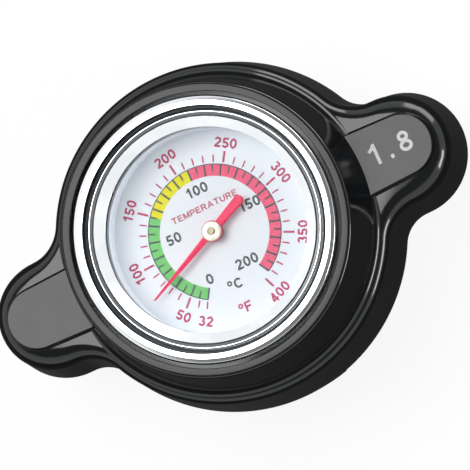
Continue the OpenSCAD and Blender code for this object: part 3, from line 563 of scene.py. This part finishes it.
def makeBezel():
    v, rim, out, foot = bezel["viewR"], bezel["rimZ"], bezel["outR"], bezel["footZ"]
    low, high = rim + bezel["rise"] / 2, rim + bezel["rise"]
    crest = low + bezel["ridgeW"] * math.tan(math.radians(bezel["ridgeSlope"]))
    inner, outer = bezel["ridgeX"] - bezel["ridgeW"], bezel["ridgeX"] + bezel["ridgeW"]
    topIn, topOut, bottom = bezel["topIn"], bezel["topOut"], high - bezel["grooveD"]
    drop = bezel["shoulder"] * math.tan(math.radians(bezel["shoulderSlope"]))
    crease, draft, soft, sheet = low - bezel["creaseD"], bezel["grooveDraft"], bezel["edgeR"], bezel["sheet"]
    seat, seatR = bezel["lensTop"] - bezel["seatD"], v + bezel["seatW"]
    side = high - bezel["rollR"] - bezel["sideTop"]
    # up the bevel, over a crease to the low ridge, down the narrow groove and up to the flat-topped roll
    profile = softProfile([
        (v, bezel["lensTop"], 0), (v, rim - 0.02, 0.06), (v + bezel["bevelW"], rim + bezel["bevelRise"], 0.015),
        (inner - bezel["creaseW"], crease, 0), (inner - 0.02, crease, 0), (inner, low, 0),
        (bezel["ridgeX"], crest, bezel["crestR"]), (outer, low, 0.01), (outer + draft, bottom, 0),
        (topIn - draft, bottom, 0), (topIn, high - bezel["topDip"], 0.03), (topOut, high, soft / 2),
        (topOut + bezel["shoulder"], high - drop, soft), (out, high - bezel["rollR"], soft),
        (out, side, 0)], steps=8)
    # down the side and round the crimp under the case's flange, then back along the glass's seat
    profile += softProfile([(out, side, 0), (out, foot, 0.25), (out - 2 * sheet, foot, soft / 2),
                            (out - 2 * sheet, foot + sheet, 0), (out - sheet, foot + sheet, 0),
                            (out - sheet, seat, 0), (seatR, seat, 0), (seatR, bezel["lensTop"], 0)],
                           steps=4)[1:]
    points, faces = turnProfile(profile, segments=360)
    piece = newPiece("rolled_bezel", points, faces, chromePlate, "cap_body", sharp=42)
    piece.data.materials.append(shadedGrooveChrome)
    for face in piece.data.polygons:  # painted shade: the groove and the crease take the dark chrome
        r, z = math.hypot(face.center.x, face.center.y) / mm, face.center.z / mm
        inShade = r > outer and z > bottom - bezel["shadeD"] or r < inner and z > low - bezel["shadeUp"]
        if inShade and v + bezel["bevelW"] < r < topIn - 0.01:
            face.material_index = 1
    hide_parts("gauge_bezel")


makeBezel()


def bow(x, y, across, up, start, end):
    return [(x + across * cx, y + up * cy) for cx, cy in arcPoints((0, 0), 1, start, end, 24)]


# centre lines in a box one unit high: width, strokes and, where given, a share of the usual thickness
glyphs = {
    "0": (0.68, [bow(0.34, 0.5, 0.245, 0.405, 0, 360)]),
    "1": (0.6, [[(0.38, 0), (0.38, 1)], [(0.37, 0.92), (0.24, 0.78), (0.07, 0.69)]]),
    "2": (0.68, [bow(0.33, 0.70, 0.235, 0.205, 170, -30) + [(0.40, 0.42), (0.22, 0.26), (0.11, 0.1)],
                 [(0.03, 0.095), (0.65, 0.095)]]),
    "3": (0.68, [bow(0.32, 0.725, 0.205, 0.18, 160, -80), bow(0.33, 0.30, 0.24, 0.205, 90, -165)]),
    "4": (0.7, [[(0.47, 0), (0.47, 1)], [(0.47, 0.92), (0.1, 0.33)], [(0.02, 0.3), (0.69, 0.3)]]),
    "5": (0.68, [[(0.12, 0.905), (0.62, 0.905)], [(0.19, 0.93), (0.12, 0.47)],
                 bow(0.32, 0.315, 0.24, 0.22, 140, -160)]),
    "8": (0.68, [bow(0.34, 0.735, 0.19, 0.17, 0, 360), bow(0.34, 0.29, 0.235, 0.195, 0, 360)]),
    ".": (0.2, [[(0.1, 0), (0.1, 0.19)]]),
    "°": (0.5, [bow(0.22, 0.77, 0.185, 0.185, 0, 360)], 0.8),
    "C": (0.94, [bow(0.47, 0.5, 0.36, 0.405, 40, 320)]),
    "F": (0.7, [[(0.1, 0), (0.1, 1)], [(0.1, 0.905), (0.7, 0.905)], [(0.1, 0.5), (0.62, 0.5)]]),
    "T": (0.8, [[(0.4, 0), (0.4, 1)], [(0, 0.935), (0.8, 0.935)]]),
    "E": (0.7, [[(0.07, 0), (0.07, 1)], [(0.07, 0.935), (0.69, 0.935)], [(0.07, 0.52), (0.64, 0.52)],
                [(0.07, 0.065), (0.7, 0.065)]]),
    "M": (0.9, [[(0.07, 0), (0.07, 1)], [(0.83, 0), (0.83, 1)], [(0.08, 0.96), (0.45, 0.06), (0.82, 0.96)]]),
    "P": (0.72, [[(0.07, 0), (0.07, 1)],
                 [(0.07, 0.935)] + bow(0.42, 0.69, 0.235, 0.245, 90, -90) + [(0.07, 0.445)]]),
    "R": (0.8, [[(0.07, 0), (0.07, 1)],
                [(0.07, 0.935)] + bow(0.44, 0.71, 0.24, 0.225, 90, -90) + [(0.07, 0.485)],
                [(0.44, 0.47), (0.74, 0.01)]]),
    "A": (0.86, [[(0.05, 0.01), (0.43, 0.95), (0.81, 0.01)], [(0.18, 0.33), (0.68, 0.33)]]),
    "U": (0.76, [[(0.07, 1), (0.07, 0.4)] + bow(0.38, 0.37, 0.31, 0.305, 180, 360) + [(0.69, 0.4), (0.69, 1)]]),
}


def stroke(line, half):  # a flat ribbon of even width along a centre line
    line = [Vector(p) for p in line]
    closed = (line[0] - line[-1]).length < 1e-5
    line = line[:-1] if closed else line
    points, count = [], len(line)
    for i, here in enumerate(line):
        back = here - line[i - 1] if i or closed else line[1] - here
        ahead = line[(i + 1) % count] - here if i < count - 1 or closed else back
        middle = (back.normalized() + ahead.normalized()).normalized()
        side = Vector((-middle.y, middle.x)) * half / max(middle.dot(back.normalized()), 0.5)
        points += [here - side, here + side]
    faces = [tuple(n % (2 * count) for n in (2 * k, 2 * k + 1, 2 * k + 3, 2 * k + 2))
             for k in range(count if closed else count - 1)]
    return points, faces


strokeLift = 0.003  # mm


def lettering(text, height, centre, turn, z, look):  # flat letters of a real height in mm, about a centre
    width = sum(glyphs[c][0] for c in text) + look["gap"] * (len(text) - 1)
    c, s = math.cos(math.radians(turn)), math.sin(math.radians(turn))
    parts, start = [], -width / 2
    for letter in text:
        thick = look["thick"] * (glyphs[letter][2] if len(glyphs[letter]) > 2 else 1)
        for level, line in enumerate(glyphs[letter][1]):
            flat, faces = stroke(line, thick / 2)
            placed = [((start + p.x) * height * look["spread"], (p.y - 0.5) * height) for p in flat]
            # each stroke lies a hair above the last, so that no two faces meet in one plane
            parts.append(([(centre[0] + c * x - s * y, centre[1] + s * x + c * y, z + strokeLift * level)
                           for x, y in placed], faces))
        start += glyphs[letter][0] + look["gap"]
    return joinParts(parts)


dial = {
    "faceZ": 12.5, "ink": 0.015, "outR": 17.9, "holeR": 1.42, "thick": 0.4, "edgeR": 0.05,
    "bandIn": 8.85, "bandOut": 10.72, "line": 0.16, "halfTick": 1.15,
    "zeroAt": 240, "perDegree": 1.5, "most": 200, "greenTo": 65, "yellowTo": 100,
    "tickC": 0.3, "halfTickC": 0.26, "fGap": 11.05, "fMinor": 12.2, "fMajor": 12.85, "tickF": 0.24,
    "majorF": 0.34, "numberF": 1.62, "numberC": 1.68, "unit": 1.6, "word": 0.98, "fNumbersR": 14.15,
    "bold": {"thick": 0.2, "gap": 0.1, "spread": 1}, "thin": {"thick": 0.19, "gap": 0.2, "spread": 1.1},
    "padMark": {"thick": 0.155, "gap": 0.34, "spread": 1}, "padMarkH": 3.4, "padMarkAt": (30.6, 0.4),
    "padMarkUp": 0.02, "lineUp": 0.005,
    # readings on the inner scale, where their centres lie
    "cNumbers": {"0": (-3.77, -6.44), "50": (-6.44, 1.77), "100": (0.1, 7.2), "150": (6.9, 1.7),
                 "200": (2.8, -6.37)},
    "cSignAt": (-0.3, -8.92), "fSignAt": (-0.34, -12.89), "wordAt": (0.1, 4.28),
}


def ringSector(inner, outer, start, end, z):
    steps = max(2, int(abs(end - start) / 1.5))
    rims = [arcPoints((0, 0), r, start, end, steps) for r in (inner, outer)]
    points = [(x, y, z) for pair in zip(*rims) for x, y in pair]
    return points, [(2 * s, 2 * s + 1, 2 * s + 3, 2 * s + 2) for s in range(steps)]


def tickMark(inner, outer, angle, width, z):
    a = math.radians(angle)
    along, across = Vector((math.cos(a), math.sin(a))), Vector((-math.sin(a), math.cos(a))) * width / 2
    corners = [along * inner - across, along * outer - across, along * outer + across, along * inner + across]
    return [(c.x, c.y, z) for c in corners], [(0, 1, 2, 3)]


def makeDial():
    face, under = dial["faceZ"], dial["faceZ"] - dial["thick"]
    plate = softProfile([(dial["holeR"], under, 0), (dial["outR"], under, 0),
                         (dial["outR"], face, dial["edgeR"]), (dial["holeR"], face, dial["edgeR"])], steps=3)
    points, faces = turnProfile(plate, segments=192)
    piece = newPiece("enamel_dial", points, faces, dialEnamel, "cap_body")
    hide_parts("dial_plate")
    low, high = face + dial["ink"], face + 2 * dial["ink"]

    def at(celsius):  # the angle of a reading
        return dial["zeroAt"] - dial["perDegree"] * celsius

    prints = {name: [] for name in inks}  # the flat pieces of each colour
    stops = [0, dial["greenTo"], dial["yellowTo"], dial["most"]]
    for colour, start, end in zip(("green", "yellow", "red"), stops, stops[1:]):
        prints[colour].append(ringSector(dial["bandIn"], dial["bandOut"], at(start), at(end), low))
    prints["slate"].append(ringSector(dial["bandOut"] - dial["line"] / 2, dial["bandOut"] + dial["line"] / 2,
                                      at(0), at(dial["most"]), high + dial["lineUp"]))
    for celsius in range(0, dial["most"] + 1, 5):
        whole = celsius % 10 == 0
        inner = dial["bandIn"] if whole else dial["bandOut"] - dial["halfTick"]
        width = dial["tickC"] if whole else dial["halfTickC"]
        prints["slate"].append(tickMark(inner, dial["bandOut"], at(celsius), width, high))
    for fahrenheit in [32] + list(range(40, 401, 10)):
        major = fahrenheit % 50 == 0
        outer = dial["fMajor"] if major else dial["fMinor"]
        prints["berry"].append(tickMark(dial["fGap"], outer, at((fahrenheit - 32) / 1.8),
                                        dial["majorF"] if major else dial["tickF"], low))
    for text in ("32", "50", "100", "150", "200", "250", "300", "350", "400"):
        angle = at((float(text) - 32) / 1.8)
        turn = angle - 90 if 100 <= int(text) <= 300 else angle + 90
        centre = [dial["fNumbersR"] * f(math.radians(angle)) for f in (math.cos, math.sin)]
        prints["berry"].append(lettering(text, dial["numberF"], centre, turn, low, dial["bold"]))
    for text, place in dial["cNumbers"].items():
        prints["slate"].append(lettering(text, dial["numberC"], place, 0, low, dial["bold"]))
    prints["slate"].append(lettering("°C", dial["unit"], dial["cSignAt"], 0, low, dial["bold"]))
    prints["berry"].append(lettering("°F", dial["unit"], dial["fSignAt"], 0, low, dial["bold"]))
    prints["berry"].append(lettering("TEMPERATURE", dial["word"], dial["wordAt"], 0, low, dial["thin"]))
    for colour, parts in prints.items():
        if parts:
            points, faces = joinParts(parts)
            newPiece("dial_print_" + colour, points, faces, inks[colour], "cap_body")
    padMarkZ = grip["padZ"] + dial["padMarkUp"]
    points, faces = lettering("1.8", dial["padMarkH"], dial["padMarkAt"], 0, padMarkZ, dial["padMark"])
    newPiece("pad_print", points, faces, inks["white"], "cap_body")


makeDial()


# widths are half widths in mm, "tipFrom" a share of the length and "rest" an angle in degrees
pointer = {
    "z": 14.1, "thick": 0.35, "length": 14.4, "rootHalf": 0.56, "tipHalf": 0.14, "tipFrom": 0.97,
    "endHalf": 0.03, "spine": 0.22, "spineBase": 0.12, "tail": 7.2, "tailHalf": 0.8, "tailRoot": 0.06,
    "rest": -115,
    "hub": 1.72, "hubUp": 0.01, "bossR": 1.6, "bossT": 0.45, "boreR": 0.5, "recessR": 0.62, "recessD": 0.25,
}


def makePointer():
    z, top = pointer["z"], pointer["z"] + pointer["thick"]
    turn = math.radians(90 - pointer["rest"])
    c, s = math.cos(turn), math.sin(turn)

    def swing(x, y, height):
        return (c * x - s * y, s * x + c * y, height)

    # the needle is folded along its middle, so its two sides catch the light apart
    sections = []
    eaves = top - pointer["spineBase"]
    for t in (0.0, 0.25, 0.5, 0.75, pointer["tipFrom"], 1.0):
        x = pointer["length"] * t
        half = pointer["rootHalf"] + (pointer["tipHalf"] - pointer["rootHalf"]) * min(t / pointer["tipFrom"], 1)
        half = half if t < 1 else pointer["endHalf"]
        ridge = eaves + pointer["spine"] * half / pointer["rootHalf"]
        sections.append([swing(x, -half, z), swing(x, half, z), swing(x, half, eaves), swing(x, 0, ridge),
                         swing(x, -half, eaves)])
    parts = [loftRings(sections, ["first", "last"])]

    # the tail is flat on top, with well rounded edges and a round end
    radius, length, root = pointer["tailHalf"], pointer["tail"], pointer["rootHalf"] + pointer["tailRoot"]
    tailRings = []
    for inset, height in ((0, z), (0, top - 0.2), (0.06, top - 0.1), (0.16, top - 0.03), (0.3, top)):
        end = arcPoints((radius - length, 0), radius - inset, 90, 270, 20)
        tailRings.append([swing(x, y, height) for x, y in [(0, root - inset)] + end + [(0, inset - root)]])
    parts.append(loftRings(tailRings, ["first", "last"]))
    hub, bore, base = pointer["hub"], pointer["boreR"], top + pointer["hubUp"]
    disc = softProfile([(bore, z, 0), (hub, z, 0.05), (hub, base, 0.1), (bore, base, 0)])
    parts.append(turnProfile(disc, segments=96))

    points, faces = joinParts(parts)
    piece = newPiece("folded_pointer", points, faces, pointerEnamel, "pointer", sharp=30)
    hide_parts("pointer")

    # the boss falls a little towards its rim and has a small recess round the spindle
    crest, recess = base + pointer["bossT"], pointer["recessR"]
    sunk = crest - pointer["recessD"]
    boss = softProfile([(bore, base, 0), (pointer["bossR"], base, 0), (pointer["bossR"], crest - 0.05, 0.2),
                        (recess + 0.02, crest, 0.04), (recess, sunk, 0.02), (bore, sunk, 0)], steps=6)
    points, faces = turnProfile(boss, segments=96)
    piece = newPiece("nickel_boss", points, faces, dullNickel, "pointer", sharp=35)
    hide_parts("pointer_boss")


makePointer()
print("gauge made")


# lengths in mm; "fixed" is the height of the end that stays, and "travel" how far the joint moves the other
springs = {
    "coil_pressure": {"node": "pressure_spring", "body": "valve_head", "joint": "valve_lift", "turns": 4.25,
                      "radius": 12.2, "wire": 2.2, "low": -15.6, "high": 1.4, "fixed": 1.4, "travel": 4.0},
    "coil_vacuum": {"node": "vacuum_spring", "body": "pressure_valve", "joint": "vacuum_open", "turns": 2.5,
                    "radius": 4.0, "wire": 0.5, "low": -16.2, "high": -12.8, "fixed": -16.2, "travel": 1.2},
}
perTurn = 48  # rings of wire in each turn


def makeSpring(name, spring):
    turns, radius, wire = spring["turns"], spring["radius"], spring["wire"]
    low, high = spring["low"] + wire / 2, spring["high"] - wire / 2
    flat = 0.5  # each end turn is drawn in flat over half a turn

    def centre(t):
        if t < flat:
            rise = t * t / (2 * flat)
        elif t > turns - flat:
            rise = turns - flat - (turns - t) ** 2 / (2 * flat)
        else:
            rise = t - flat / 2
        a = 2 * math.pi * t
        return Vector((radius * math.cos(a), radius * math.sin(a), low + (high - low) * rise / (turns - flat)))

    rings = []
    for i in range(int(turns * perTurn) + 1):
        t = i / perTurn
        along = (centre(min(t + 0.01, turns)) - centre(max(t - 0.01, 0))).normalized()
        out = Vector((math.cos(2 * math.pi * t), math.sin(2 * math.pi * t), 0))
        up = along.cross(out)
        rings.append([tuple(centre(t) + (out * x + up * y) * wire / 2)
                      for x, y in arcPoints((0, 0), 1, 0, 342, 19)])
    points, faces = loftRings(rings, ["first", "last"])
    piece = newPiece(name, points, faces, springWire, spring["body"], sharp=50, even=False)
    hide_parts(spring["node"])
    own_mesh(piece)


for springName, spring in springs.items():
    makeSpring(springName, spring)
print("springs made")


# the finish of each CAD piece, and the soft edges of those that stay
finishes = {
    "cap_shell": brightZinc, "glass_lens": clearGlass, "lens_gasket": nitrileRubber,
    "spacer_ring": palePolystyrene, "gauge_case": drawnStainless, "case_seal": nitrileRubber,
    "probe_tube": turnedBrass, "probe_plug": turnedBrass, "probe_washer": brightZinc, "probe_nut": turnedBrass,
    "bimetal_coil": rolledBimetal, "upper_bush": sinteredBronze, "lower_bush": sinteredBronze,
    "spindle": brownedSteel, "disc_spring": drawnStainless, "neck_gasket": nitrileRubber,
    "spring_cup": drawnStainless, "valve_guide": drawnStainless, "valve_sleeve": drawnStainless,
    "pressure_plate": drawnStainless, "pressure_seal": nitrileRubber, "seal_clamp": drawnStainless,
    "vacuum_valve": turnedBrass, "vacuum_facing": nitrileRubber, "vacuum_collar": turnedBrass,
    "grip_body": glossyNylon, "gauge_bezel": chromePlate, "dial_plate": dialEnamel, "pointer": pointerEnamel,
    "pointer_boss": dullNickel, "pressure_spring": springWire, "vacuum_spring": springWire,
}
softened = {"cap_shell": 0.15, "neck_gasket": 0.2, "pressure_seal": 0.2, "seal_clamp": 0.1, "vacuum_valve": 0.1,
            "spring_cup": 0.12, "probe_nut": 0.12, "disc_spring": 0.08}  # mm
softFrom = 40  # degrees
for nodeName, finish in finishes.items():
    piece = nodes[nodeName]
    if piece.material_slots:
        for slot in piece.material_slots:
            slot.link = "OBJECT"
            slot.material = finish
    else:
        piece.data.materials.append(finish)
    if nodeName in softened:  # a real edge is never quite sharp
        edge = piece.modifiers.new("softEdge", "BEVEL")
        edge.width = softened[nodeName] * mm
        edge.segments = 2
        edge.limit_method = "ANGLE"
        edge.angle_limit = math.radians(softFrom)
print("finishes given")
